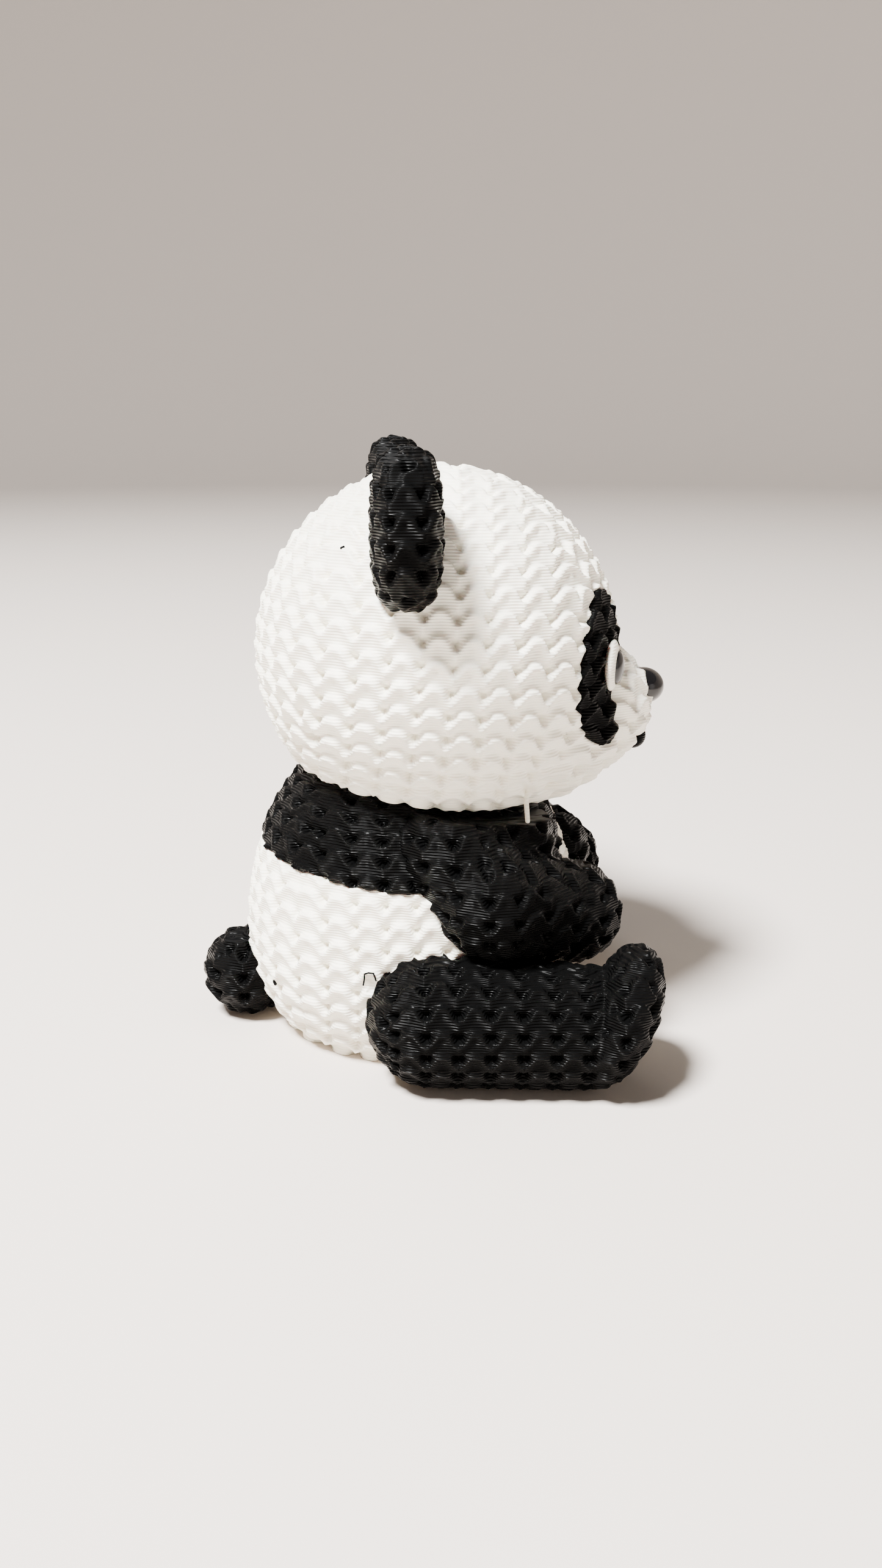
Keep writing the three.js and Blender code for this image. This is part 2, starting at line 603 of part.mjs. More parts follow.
for (const side of Object.keys(sides)) {
  torsoGroup.add(piece(`arm_${side}`, arms[side].body, BLACK));
  torsoGroup.add(piece(`leg_${side}`, legs[side].body, BLACK));
  headGroup.add(piece(`ear_${side}`, ears[side].body, BLACK));
  headGroup.add(piece(`eye_patch_${side}`, eyes[side].patch, BLACK));
  headGroup.add(piece(`eye_white_${side}`, eyes[side].eye, WHITE));
  headGroup.add(piece(`pupil_${side}`, eyes[side].pupil, GLOSS_BLACK));
}

const panda = new THREE.Group();
panda.add(torsoGroup, headGroup);

export default panda;
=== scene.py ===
import math
from functools import partial

import bmesh
import bpy
import numpy as np
from bpy.props import FloatProperty, FloatVectorProperty, PointerProperty
from mathutils import Matrix, Vector


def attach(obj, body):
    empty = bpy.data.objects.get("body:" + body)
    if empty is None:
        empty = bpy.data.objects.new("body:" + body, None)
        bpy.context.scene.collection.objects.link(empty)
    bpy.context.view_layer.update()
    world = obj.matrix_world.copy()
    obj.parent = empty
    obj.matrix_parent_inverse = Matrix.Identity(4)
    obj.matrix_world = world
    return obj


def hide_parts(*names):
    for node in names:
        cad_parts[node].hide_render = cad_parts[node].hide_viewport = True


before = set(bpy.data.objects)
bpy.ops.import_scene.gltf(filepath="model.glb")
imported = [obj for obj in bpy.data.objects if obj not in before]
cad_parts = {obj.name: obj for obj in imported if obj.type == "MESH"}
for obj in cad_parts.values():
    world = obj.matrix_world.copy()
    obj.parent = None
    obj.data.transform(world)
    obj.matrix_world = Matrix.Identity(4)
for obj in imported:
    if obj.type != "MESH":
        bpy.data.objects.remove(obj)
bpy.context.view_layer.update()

bl_info = {
    "name": "Printed knit panda",
    "version": (1, 0, 0),
    "blender": (4, 5, 0),
    "location": "3D View > Sidebar > Panda",
    "description": "Builds the surfaces and finishes of a small printed panda with a knitted relief",
    "category": "Object",
}

# Everything but the stage is worked out in millimetres in the shared frame and becomes metres in
# finish_piece. The panda faces -Y and its own left side is +X.

MM = 0.001
SIDES = {"left": 1, "right": -1}
UP = np.array([0, 0, 1.0])
THROUGH = 30  # longer than anything that a ray or a bore has to cross
SMALL_REACH = 8  # the same for tail and ears
WELL_INSIDE = 10.0  # stands for any place far from a colour border

# ---------------------------------------------------------------- torso and neck

TORSO_MIDDLE = np.array([0, 0, 7.6])
TORSO_RADIUS = 12.9
TORSO_ABOVE = 16.6  # half height over the middle
TORSO_BELOW = 12.2  # half height under it, before the seat is cut flat
TORSO_CUTS = (60, 104)  # cuts along each side of a skin's six patches: quick, full
SEAM_Z = 13.9  # lower border of the black shoulders at the torso's axis
SEAM_TILT = math.radians(4.5)  # it climbs towards the back
SEAM_UNEVEN = 0.1
BIB_HALF_WIDTH = 4.2  # white chest that narrows upwards between the shoulders
BIB_TOP_Z = 17.2
YOKE_PROUD = 0.1  # black shoulders above the torso's skin
YOKE_TUCK = 0.65  # and how far they dip under the white beyond their border
YOKE_LAP = 1.6  # hidden part of the shoulders under the seam
UNDER_BLACK = 0.45  # how far white lies lower where black covers it

NECK_TILT = math.radians(8.3)
NECK_AXIS = np.array([0, -math.sin(NECK_TILT), math.cos(NECK_TILT)])
NECK = np.array([0, -1.035, 19.349])  # where head and shoulders meet on the turning axis
NECK_GAP = 0.15  # from there to either face
BELLY_TOP_DROP = 1.2  # from there down to the top of the belly, inside the shoulders
ARM_TOP_DROP = 0.3  # and to the cut top of the arms
PIN_RADIUS = 2.6
PIN_FOOT = 8.5  # length of the pin under the neck
PIN_HEAD = 7.0  # and over it
PIN_BEVEL = 0.5
BORE_GAP = 0.2
BORE_SPARE = 0.4  # room past either end of the pin
YOKE_BORE_START = 12  # under the neck, below the shoulders' foot
HEAD_BORE_START = 2  # under the neck, outside the head

# ---------------------------------------------------------------- head

HEAD_MIDDLE = NECK + 10 * NECK_AXIS + np.array([0, 0.5, 0])
HEAD_HALF = np.array([14.3, 13.55, 13.5])
CHEEK_MIDDLE = HEAD_MIDDLE + np.array([0, -4.35, -4.6])
CHEEK_HALF = np.array([9.6, 10.8, 7.6])
MUZZLE_MIDDLE = HEAD_MIDDLE + np.array([0, -9.85, -4.3])
MUZZLE_HALF = np.array([6.6, 6.6, 5.4])
HEAD_FLOW = 0.5  # width over which its forms flow into each other
HEAD_LEAN = math.radians(5)  # of the knitted columns, forwards
HEAD_UP = np.array([0, -math.sin(HEAD_LEAN), math.cos(HEAD_LEAN)])
HEAD_CUTS = (70, 122)

PATCH_HALF_WIDTH = 4.15
PATCH_HALF_HEIGHT = 5.75
PATCH_LEAN = math.radians(3)
PATCH_TURN = math.radians(30)  # from straight ahead to the side
PATCH_MIDDLE = HEAD_MIDDLE + np.array([0, 0, -0.5])
PATCH_NARROWING = 0.1  # share of its width that it loses towards the top
PATCH_NARROW_FROM = -0.4  # lowest share of its half height that still changes the width
PATCH_BOW = 0.9  # how far its middle stands outside of its ends
PATCH_UNEVEN = 0.12
PATCH_PROUD = 0.12  # above the head's own stitches
PATCH_TUCK = 0.7  # dip under the white beyond its border
PATCH_TRIM = 0.3  # kept beyond its border
PATCH_FACING = 0.2  # least share of the patch's outward way in the head's normal
PATCH_THICKNESS = 0.8
PATCH_MARGIN = 1  # of the grid that it is made from
PATCH_GRID = (0.2, 0.11)
MUZZLE_CLEAR = 0.14  # between a patch and the muzzle

EYE_RADIUS = 1.85
EYE_HALF_THICKNESS = 0.5
EYE_RISE = 0.2  # middle of the eye above the middle of the patch
EYE_INWARD = 0.7  # and towards the nose
EYE_RIM = 0.1  # half width of the step round the eye's seat
EYE_SEAT_DEPTH = 0.4
GAZE_FORWARD = 0.4  # turn of the eye towards the front, as a share of the head's normal
PUPIL_RADIUS = 1.25
PUPIL_HALF_THICKNESS = 0.55
PUPIL_PROUD = 0.3
PUPIL_DROP = 0.15
NOSE_HALF = (2.0, 1.5, 1.35)
NOSE_RISE = 1.2
NOSE_SUNK = 0.4
MOUTH_HALF_WIDTH = 1.7
MOUTH_DROP = 2.9
MOUTH_CURL = 0.7
MOUTH_SUNK = 0.35
MOUTH_RADIUS = 0.45
MOUTH_STOPS = 9
MOUTH_GRAIN = 0.1

EAR_RADIUS = 5.2
EAR_HALF_THICKNESS = 2.3
EAR_FULLNESS = 3.2  # 2 gives an ellipsoid, and more gives flatter faces and a blunter rim
EAR_ANGLE = math.radians(38.5)
EAR_STANDOFF = 1.9
EAR_BACK = 2.7
EAR_CUTS = (36, 64)

# ---------------------------------------------------------------- limbs and tail

ARM_RADIUS = 3.8
# Height, degrees round from straight ahead, and distance outside the torso's skin
ARM_BENDS = ((16.1, 45, -2.0), (16.1, 76, -2.0), (12.9, 65, 0.3), (10.6, 32, 0.8))
ARM_GRAIN = (0.3, 0.155)
BEND_FLOW = 0.8
LEG_RADIUS = 4.8
ANKLE_RADIUS = 4.35
LEG_START = 1.0
LEG_LENGTH = 10.5
LEG_SPLAY = math.radians(6)
LEG_GRAIN = (0.3, 0.165)
FOOT_HALF = np.array([5.1, 2.5, 5.3])
FOOT_TILT = math.radians(22)
FOOT_FORWARD = 2.6
FOOT_FLOW = 0.25
TAIL_RADIUS = 3.5
TAIL_OUT = 0.9
TAIL_CUTS = (30, 50)

# What the printer left behind: body, slot, radii at both ends, and the places passed through
STRAY_BITS = {
    "support_nub": (
        "head_body",
        "white_print",
        (0.2, 0.17),
        ((-7.0, -7.9, 20.4), (-7.9, -7.9, 19.9), (-9.15, -7.9, 18.3)),
    ),
    "curled_thread": (
        "torso_body",
        "black_print",
        (0.06, 0.06),
        (
            (-12.4, 3.98, 7.4),
            (-12.5, 3.9, 7.9),
            (-12.5, 3.88, 8.3),
            (-12.62, 3.6, 8.42),
            (-12.68, 3.25, 8.4),
            (-12.7, 3.08, 7.85),
        ),
    ),
    "dark_fleck_belly": ("torso_body", "black_print", (0.13, 0.1), ((-7.4, 10.5, 5.42), (-7.35, 10.6, 5.62))),
    "dark_fleck_head": ("head_body", "black_print", (0.09, 0.08), ((-8.68, 4.95, 37.6), (-8.75, 4.78, 37.7))),
}
BIT_FLOW = 0.02
BIT_GRAINS = 2.5  # grains across its thinnest radius

# ---------------------------------------------------------------- stitches

# Height of the rows' ledges, depth of the hollows between stitches, and how far all of it is sunk, as
# shares of the relief
WHITE_STITCH = (0.65, 0.75, 0.5)
BLACK_STITCH = (0.42, 1.0, 0.2)
# Where columns and rows start, as shares of a stitch and of a row
TORSO_PHASE = (0.415, 0.17)
HEAD_PHASE = (0.59, 0.81)
LIMB_PHASE = (0.415, 0.0)
# Radius along which rows are counted
TORSO_KNIT_RADIUS = 14.5
HEAD_KNIT_RADIUS = 13.9

CREST_POWER = 0.8  # under 1 it broadens a row's crests and narrows its valleys
LEDGE_END = 1.25  # the rise to a row's upper edge would end past it, so the edge stays sharp
HOLLOW_RISE = 0.36  # middle of the deep hollow over its valley, as a share of the row
HOLLOW_WIDTH = 0.36
HOLLOW_SPREAD = 0.28  # gain of its width per millimetre upwards
HOLLOW_LEAST_WIDTH = 0.12
HOLLOW_HEIGHT = 0.36
HOLLOW_POWERS = (1.3, 1.4)  # over 1 they flatten its floor, across and upwards
DIMPLE_RISE = 0.27  # middle of the dimple over the same level
DIMPLE_SIZE = 0.2
DIMPLE_SHARE = 0.15
FACING_POWER = 6  # how sharply the flat relief changes from one side of a limb to the next
FRONT_FROM, FRONT_FULL = 0.6, 0.85  # share of -Y or +Y in the normal where a leg's rows turn level
COVER_SOFT = 0.12  # half width of the step at a colour border

# ---------------------------------------------------------------- roundness of plain tools and balls

BALL_SEGMENTS, BALL_RINGS = 48, 32
EYE_RINGS = 24
ROD_SEGMENTS = 64
BLOCK_SIZE = 80

# ---------------------------------------------------------------- finishes and stage

PLA_IOR = 1.46
GLOSS_IOR = 1.5
WHITE_ROUGHNESS, BLACK_ROUGHNESS, GLOSS_ROUGHNESS, PAPER_ROUGHNESS = 0.5, 0.3, 0.12, 0.9
WHITE_LAYER_DEPTH, BLACK_LAYER_DEPTH = 0.000012, 0.00004
BLACK_SPECULAR = 0.04  # chosen for a deep black
LAYER_SWAY = 0.6  # drift of the layer lines, in radians of their wave
SWAY_SCALE = 600.0

# Stage sizes are in metres
FLOOR_RADIUS = 0.7
FLOOR_CURVE = 0.35
WALL_TOP = 0.8
FLOOR_STEPS = 96
ROOM_STRENGTH = 0.16
# Place, aim, diameter and power in watts
LIGHTS = {
    "key_light": ((-0.18, 0.19, 0.46), (0, 0, 0.025), 0.13, 19.0),
    "fill_light": ((-0.4, -0.3, 0.2), (0, 0, 0.02), 0.4, 0.35),
    "rim_light": ((0.3, 0.1, 0.35), (0, 0, 0.03), 0.3, 0.6),
}
# The camera looks from the panda's right side. Its sizes are in millimetres.
SENSOR_HEIGHT = 36
FOCAL_LENGTH = 30.817
CAMERA_AWAY = 100
CAMERA_FORWARD = 2.3
CAMERA_Z = 47.2
CAMERA_TURN = math.radians(3.6)
CAMERA_DOWN = math.radians(16)


# ---------------------------------------------------------------- forms: under 0 inside, 0 on the surface


def egg(points, middle, half):
    """Distance outside an ellipsoid, good near its surface."""
    q = (points - middle) / half
    near = np.linalg.norm(q, axis=1)
    return near * (near - 1) / np.maximum(np.linalg.norm(q / half, axis=1), 1e-9)


def bar(points, start, end, radius, end_radius=None):
    """Distance outside a round-ended bar, which may narrow towards its end."""
    run = end - start
    share = np.clip((points - start) @ run / (run @ run), 0, 1)
    swell = radius + share * ((radius if end_radius is None else end_radius) - radius)
    return np.linalg.norm(points - start - share[:, None] * run, axis=1) - swell


def merged(distances, width):
    """Distance outside several forms that flow into each other over a width."""
    total = distances[0]
    for other in distances[1:]:
        mix = np.maximum(width - np.abs(total - other), 0) / width
        total = np.minimum(total, other) - mix * mix * width / 4
    return total


def slope(points, form):
    """Unit outward normals of a form."""
    step = 0.02
    out = np.empty_like(points)
    for axis in range(3):
        shift = np.zeros(3)
        shift[axis] = step
        out[:, axis] = form(points + shift) - form(points - shift)
    return out / np.maximum(np.linalg.norm(out, axis=1)[:, None], 1e-12)


def cast(starts, rays, form, reach):
    """The points where rays that start inside a form leave it."""
    halvings = 26
    low = np.zeros(len(rays))
    high = np.full(len(rays), float(reach))
    for _ in range(halvings):
        half = (low + high) / 2
        inside = form(starts + rays * half[:, None]) < 0
        low = np.where(inside, half, low)
        high = np.where(inside, high, half)
    return starts + rays * high[:, None]


def torso_form(points):
    half = np.empty_like(points)
    half[:, :2] = TORSO_RADIUS
    half[:, 2] = np.where(points[:, 2] > TORSO_MIDDLE[2], TORSO_ABOVE, TORSO_BELOW)
    return egg(points, TORSO_MIDDLE, half)


def face_form(points):
    return merged([egg(points, HEAD_MIDDLE, HEAD_HALF), egg(points, CHEEK_MIDDLE, CHEEK_HALF)], HEAD_FLOW)


def head_form(points):
    return merged([face_form(points), egg(points, MUZZLE_MIDDLE, MUZZLE_HALF)], HEAD_FLOW)


def pad_form(points, middle):
    """A round ear pad with its axis along Y and a blunt rim. Away from its surface it is no true distance."""
    rel = points - middle
    across = np.hypot(rel[:, 0], rel[:, 2]) / EAR_RADIUS
    through = np.abs(rel[:, 1]) / EAR_HALF_THICKNESS
    return (across**EAR_FULLNESS + through**EAR_FULLNESS) ** (1 / EAR_FULLNESS) - 1


def torso_radius(z):
    height = TORSO_ABOVE if z > TORSO_MIDDLE[2] else TORSO_BELOW
    return TORSO_RADIUS * math.sqrt(1 - ((z - TORSO_MIDDLE[2]) / height) ** 2)


def on_torso(side, z, turn, out):
    """A place outside the torso's skin, at a height and so many degrees round from straight ahead."""
    radius = torso_radius(z) + out
    return np.array([side * radius * math.sin(math.radians(turn)), -radius * math.cos(math.radians(turn)), z])


def step_up(values, start, end):
    """Smooth rise from 0 to 1."""
    t = np.clip((values - start) / (end - start), 0, 1)
    return t * t * (3 - 2 * t)


# ---------------------------------------------------------------- knitted relief


def knit(u, v, look, stitch):
    """Height of stocking stitch in millimetres: u counts stitches across, v rows upwards.

    Each row's edge is a wave, round over its crests at whole u and sharp in its valleys between them. A row
    rises gently to its upper edge and steps back steeply to the foot of the row above. A deep hollow lies over
    each valley and a dimple under each crest.
    """
    lip = look.knit_lip
    w = (v - look.knit_wave * np.abs(np.cos(np.pi * u)) ** CREST_POWER) % 1.0
    rise = step_up(w, lip, LEDGE_END) / step_up(np.array([1.0]), lip, LEDGE_END)
    ledge = np.where(w < lip, 1 - step_up(w, 0, lip), rise)
    across = (u % 1.0 - 0.5) * look.stitch_width
    up = ((v - HOLLOW_RISE + 0.5) % 1.0 - 0.5) * look.row_height
    wide = np.maximum(HOLLOW_WIDTH + HOLLOW_SPREAD * up, HOLLOW_LEAST_WIDTH)
    deep = np.exp(-(((across / wide) ** 2) ** HOLLOW_POWERS[0]))
    deep = deep * np.exp(-(((up / HOLLOW_HEIGHT) ** 2) ** HOLLOW_POWERS[1]))
    across = ((u + 0.5) % 1.0 - 0.5) * look.stitch_width
    up = ((v - DIMPLE_RISE + 0.5) % 1.0 - 0.5) * look.row_height
    dimple = np.exp(-((across / DIMPLE_SIZE) ** 2 + (up / DIMPLE_SIZE) ** 2))
    ledge_share, hollow_share, sunk = stitch
    relief = look.relief_depth / MM
    return relief * (ledge_share * ledge - hollow_share * deep - DIMPLE_SHARE * dimple - sunk)


def knit_round(points, middle, up, radius, look, phase, stitch):
    """Relief on a ball-like body: columns stand along `up`, and rows keep their height along the surface."""
    rel = points - middle
    high = rel @ up
    ahead = np.cross(up, np.array([1.0, 0, 0]))
    side = np.abs(rel[:, 0])
    front = np.abs(rel @ ahead)
    u = np.minimum(side, front) * np.sign(rel @ ahead) / look.stitch_width
    v = radius * np.arcsin(np.clip(high / radius, -0.999, 0.999)) / look.row_height
    return knit(u + phase[0], v + phase[1], look, stitch)


def knit_flat(points, normals, look):
    """Relief on limbs, seen square from each side: rows lie level and columns stand upright."""
    weights = np.abs(normals) ** FACING_POWER
    weights /= weights.sum(axis=1)[:, None]
    x, y, z = points.T
    row = z / look.row_height + LIMB_PHASE[1]
    from_side = knit(-y / look.stitch_width + LIMB_PHASE[0], row, look, BLACK_STITCH)
    from_front = knit(x / look.stitch_width + LIMB_PHASE[0], row, look, BLACK_STITCH)
    from_above = knit(x / look.stitch_width + LIMB_PHASE[0], y / look.row_height, look, BLACK_STITCH)
    return weights[:, 0] * from_side + weights[:, 1] * from_front + weights[:, 2] * from_above


def knit_wrapped(points, normals, axis_x, side, look):
    """Relief on a level leg along Y: rows run along it and follow one another round it."""
    x, y, z = points.T
    turn = np.arctan2(z - LEG_RADIUS, side * (x - axis_x))
    row = LEG_RADIUS * turn / look.row_height + LIMB_PHASE[1]
    wrapped = knit(-y / look.stitch_width + LIMB_PHASE[0], row, look, BLACK_STITCH)
    level = z / look.row_height + LIMB_PHASE[1]
    from_front = knit(x / look.stitch_width + LIMB_PHASE[0], level, look, BLACK_STITCH)
    facing = step_up(np.abs(normals[:, 1]), FRONT_FROM, FRONT_FULL)
    return wrapped * (1 - facing) + from_front * facing


def torso_relief(points, look, stitch):
    return knit_round(points, TORSO_MIDDLE, UP, TORSO_KNIT_RADIUS, look, TORSO_PHASE, stitch)


def head_relief(points, look):
    return knit_round(points, HEAD_MIDDLE, HEAD_UP, HEAD_KNIT_RADIUS, look, HEAD_PHASE, WHITE_STITCH)


def no_relief(points, normals):
    return np.zeros(len(points))


# ---------------------------------------------------------------- colour borders


def uneven(points, size):
    """Small waves that keep a colour border from being a drawn line."""
    x, y, z = points.T
    slow = 0.6 * np.sin(2.9 * z + 1.3 * x)
    quick = 0.4 * np.sin(5.3 * z - 2.1 * y)
    return size * (slow + quick + 0.5 * np.sin(4.1 * y + 1.7 * x))


def covered(inside):
    """Smooth step from 0 outside a colour border to 1 inside it."""
    return step_up(inside, -COVER_SOFT, COVER_SOFT)


def yoke_cover(points):
    """Millimetres inside the border of the black shoulders: above the seam and beside the white bib."""
    above = (points[:, 2] - SEAM_Z) * math.cos(SEAM_TILT) - points[:, 1] * math.sin(SEAM_TILT)
    slant = BIB_HALF_WIDTH / (BIB_TOP_Z - SEAM_Z)
    beside = (np.abs(points[:, 0]) - slant * (BIB_TOP_Z - points[:, 2])) / math.hypot(1, slant)
    beside = np.where(points[:, 1] < 0, beside, WELL_INSIDE)
    return np.minimum(above, beside) + uneven(points, SEAM_UNEVEN)


def patch_axes(side):
    """The ways out of the head, across and up of an eye patch."""
    out = np.array([side * math.sin(PATCH_TURN), -math.cos(PATCH_TURN), 0])
    across = np.array([math.cos(PATCH_TURN), side * math.sin(PATCH_TURN), 0])
    lean = side * PATCH_LEAN
    wide = across * math.cos(lean) - UP * math.sin(lean)
    tall = across * math.sin(lean) + UP * math.cos(lean)
    return out, wide, tall


def patch_cover(points, side):
    """Millimetres inside the border of an eye patch."""
    out, wide, tall = patch_axes(side)
    rel = points - PATCH_MIDDLE
    high = (rel @ tall) / PATCH_HALF_HEIGHT
    away = side * (rel @ wide) + PATCH_BOW * high**2
    width = PATCH_HALF_WIDTH * (1 - PATCH_NARROWING * np.clip(high, PATCH_NARROW_FROM, 1))
    inside = (1 - np.hypot(away / width, high)) * PATCH_HALF_WIDTH
    inside = np.where(rel @ out > 0, inside + uneven(points, PATCH_UNEVEN), -WELL_INSIDE)
    return np.minimum(inside, egg(points, MUZZLE_MIDDLE, MUZZLE_HALF) - MUZZLE_CLEAR)


def eye_seat(side):
    """Where an eye sits on the head, and the way it looks."""
    out = patch_axes(side)[0]
    inward = np.array([-side * math.cos(PATCH_TURN), -math.sin(PATCH_TURN), 0])
    foot = PATCH_MIDDLE + inward * EYE_INWARD + np.array([0, 0, EYE_RISE])
    skin = cast(foot[None], out[None], face_form, THROUGH)[0]
    gaze = slope(skin[None], face_form)[0] + np.array([0, -GAZE_FORWARD, 0])
    return skin, gaze / np.linalg.norm(gaze)


# ---------------------------------------------------------------- meshes


def detail(quick, full):
    """How fine a skin is made."""
    return full


def ball_rays(cuts):
    """A bmesh of even patches on a ball, and its points as unit rays."""
    bm = bmesh.new()
    bmesh.ops.create_cube(bm, size=2)
    bmesh.ops.subdivide_edges(bm, edges=bm.edges[:], cuts=cuts, use_grid_fill=True)
    points = np.array([v.co[:] for v in bm.verts])
    points = np.tan(points * math.pi / 4)
    return bm, points / np.linalg.norm(points, axis=1)[:, None]


def mesh_from(bm, name):
    mesh = bpy.data.meshes.new(name)
    bm.to_mesh(mesh)
    bm.free()
    return mesh


def mesh_points(mesh):
    flat = np.empty(len(mesh.vertices) * 3)
    mesh.vertices.foreach_get("co", flat)
    return flat.reshape(-1, 3)


def set_points(mesh, points):
    mesh.vertices.foreach_set("co", np.ascontiguousarray(points).ravel())
    mesh.update()


def with_modifier(mesh, kind, **settings):
    """A new mesh: the old one after one modifier."""
    holder = bpy.data.objects.new("holder", mesh)
    bpy.context.scene.collection.objects.link(holder)
    modifier = holder.modifiers.new(kind.lower(), kind)
    for key, value in settings.items():
        setattr(modifier, key, value)
    graph = bpy.context.evaluated_depsgraph_get()
    result = bpy.data.meshes.new_from_object(holder.evaluated_get(graph))
    bpy.data.objects.remove(holder)
    if not result.polygons:
        raise RuntimeError(f"{mesh.name}: {kind} left nothing")
    return result


def carve(mesh, tool_bm):
    """The mesh after a closed tool was cut out of it."""
    tool = bpy.data.objects.new("tool", mesh_from(tool_bm, "tool"))
    bpy.context.scene.collection.objects.link(tool)
    result = with_modifier(mesh, "BOOLEAN", operation="DIFFERENCE", solver="MANIFOLD", object=tool)
    bpy.data.objects.remove(tool)
    return result


def stood_at(bm, point, axis):
    """Turns a bmesh from Z to an axis and moves it to a point."""
    turn = Vector((0, 0, 1)).rotation_difference(Vector(axis)).to_matrix()
    bmesh.ops.rotate(bm, verts=bm.verts, matrix=turn)
    bmesh.ops.translate(bm, verts=bm.verts, vec=point)
    return bm


def block_behind(point, normal):
    """A block whose face lies at a point, on the side its normal points away from."""
    bm = bmesh.new()
    bmesh.ops.create_cube(bm, size=BLOCK_SIZE)
    bmesh.ops.translate(bm, verts=bm.verts, vec=(0, 0, -BLOCK_SIZE / 2))
    return stood_at(bm, point, normal)


def rod_tool(point, axis, length, radius):
    """A rod that starts at a point and runs along an axis."""
    bm = bmesh.new()
    bmesh.ops.create_cone(
        bm, cap_ends=True, segments=ROD_SEGMENTS, radius1=radius, radius2=radius, depth=length
    )
    bmesh.ops.translate(bm, verts=bm.verts, vec=(0, 0, length / 2))
    return stood_at(bm, point, axis)


def round_skin(cuts, middle, form, relief, reach):
    """A ball of patches cast onto a form, with a relief along its normals."""
    bm, rays = ball_rays(cuts)
    points = cast(np.tile(middle, (len(rays), 1)), rays, form, reach)
    normals = slope(points, form)
    points = points + normals * relief(points, normals)[:, None]
    mesh = mesh_from(bm, "skin")
    set_points(mesh, points)
    return mesh


def limb_skin(parts, grain, form, relief):
    """Overlapping balls and bars made one skin, drawn onto a form, with a relief along its normals."""
    draws = 5
    bm = bmesh.new()
    for part in parts:
        part(bm)
    mesh = with_modifier(mesh_from(bm, "limb"), "REMESH", mode="VOXEL", voxel_size=grain)
    points = mesh_points(mesh)
    for _ in range(draws):
        points = points - slope(points, form) * form(points)[:, None]
    normals = slope(points, form)
    set_points(mesh, points + normals * relief(points, normals)[:, None])
    return mesh


def ball_part(middle, half, turn=None):
    """A maker that adds an ellipsoid to a bmesh."""

    def add(bm):
        made = bmesh.ops.create_uvsphere(
            bm, u_segments=BALL_SEGMENTS, v_segments=BALL_RINGS, radius=1
        )["verts"]
        bmesh.ops.scale(bm, verts=made, vec=half)
        if turn is not None:
            bmesh.ops.rotate(bm, verts=made, matrix=turn)
        bmesh.ops.translate(bm, verts=made, vec=middle)

    return add


def bar_part(start, end, radius, end_radius=None):
    """A maker that adds a bar between two places to a bmesh."""

    def add(bm):
        made = bmesh.ops.create_cone(
            bm,
            cap_ends=True,
            segments=BALL_SEGMENTS,
            radius1=radius,
            radius2=radius if end_radius is None else end_radius,
            depth=float(np.linalg.norm(end - start)),
        )["verts"]
        turn = Vector((0, 0, 1)).rotation_difference(Vector(end - start)).to_matrix()
        bmesh.ops.rotate(bm, verts=made, matrix=turn)
        bmesh.ops.translate(bm, verts=made, vec=(start + end) / 2)

    return add


def chain(points, radius):
    """The parts and the form of a bent bar through several points."""
    stretches = list(zip(points, points[1:]))
    parts = [ball_part(point, (radius,) * 3) for point in points]
    parts += [bar_part(start, end, radius) for start, end in stretches]

    def form(at):
        return merged([bar(at, start, end, radius) for start, end in stretches], BEND_FLOW)

    return parts, form


# ---------------------------------------------------------------- finishes


def linear(hex_colour):
    """An sRGB hex colour as a linear RGBA tuple."""
    channels = [int(hex_colour[i : i + 2], 16) / 255 for i in (0, 2, 4)]
    return tuple(c / 12.92 if c <= 0.04045 else ((c + 0.055) / 1.055) ** 2.4 for c in channels) + (1.0,)


def add_node(tree, kind, links=None, **settings):
    """Adds a node, sets its properties and input values, and links its inputs."""
    node = tree.nodes.new(kind)
    for key, value in settings.items():
        if key in node.inputs:
            node.inputs[key].default_value = value
        else:
            setattr(node, key, value)
    for key, source in (links or {}).items():
        tree.links.new(source, node.inputs[key])
    return node


def new_finish(name, colour, roughness, **settings):
    """A material with one plain shader, whose further sockets are named with underscores."""
    material = bpy.data.materials.new(name)
    material.use_nodes = True
    tree = material.node_tree
    shader = tree.nodes["Principled BSDF"]
    shader.inputs["Base Color"].default_value = colour
    shader.inputs["Roughness"].default_value = roughness
    for key, value in settings.items():
        shader.inputs[key.replace("_", " ")].default_value = value
    return material, tree, shader


def printed_plastic(name, colour, roughness, look, layer_depth, **settings):
    """Extruded filament: satin plastic whose layers show as fine level lines."""
    material, tree, shader = new_finish(name, colour, roughness, **settings)
    place = add_node(tree, "ShaderNodeTexCoord").outputs["Object"]
    apart = add_node(tree, "ShaderNodeSeparateXYZ", {"Vector": place})
    drift = add_node(tree, "ShaderNodeTexNoise", {"Vector": place}, Scale=SWAY_SCALE, Detail=2.0)
    sway = add_node(tree, "ShaderNodeMath", {0: drift.outputs["Fac"]}, operation="MULTIPLY")
    sway.inputs[1].default_value = LAYER_SWAY
    turns = add_node(tree, "ShaderNodeMath", {0: apart.outputs["Z"]}, operation="MULTIPLY")
    turns.inputs[1].default_value = 2 * math.pi / look.layer_height
    both = add_node(tree, "ShaderNodeMath", {0: turns.outputs[0], 1: sway.outputs[0]}, operation="ADD")
    lines = add_node(tree, "ShaderNodeMath", {0: both.outputs[0]}, operation="SINE")
    bump = add_node(tree, "ShaderNodeBump", {"Height": lines.outputs[0]}, Strength=1.0, Distance=layer_depth)
    tree.links.new(bump.outputs["Normal"], shader.inputs["Normal"])
    return material


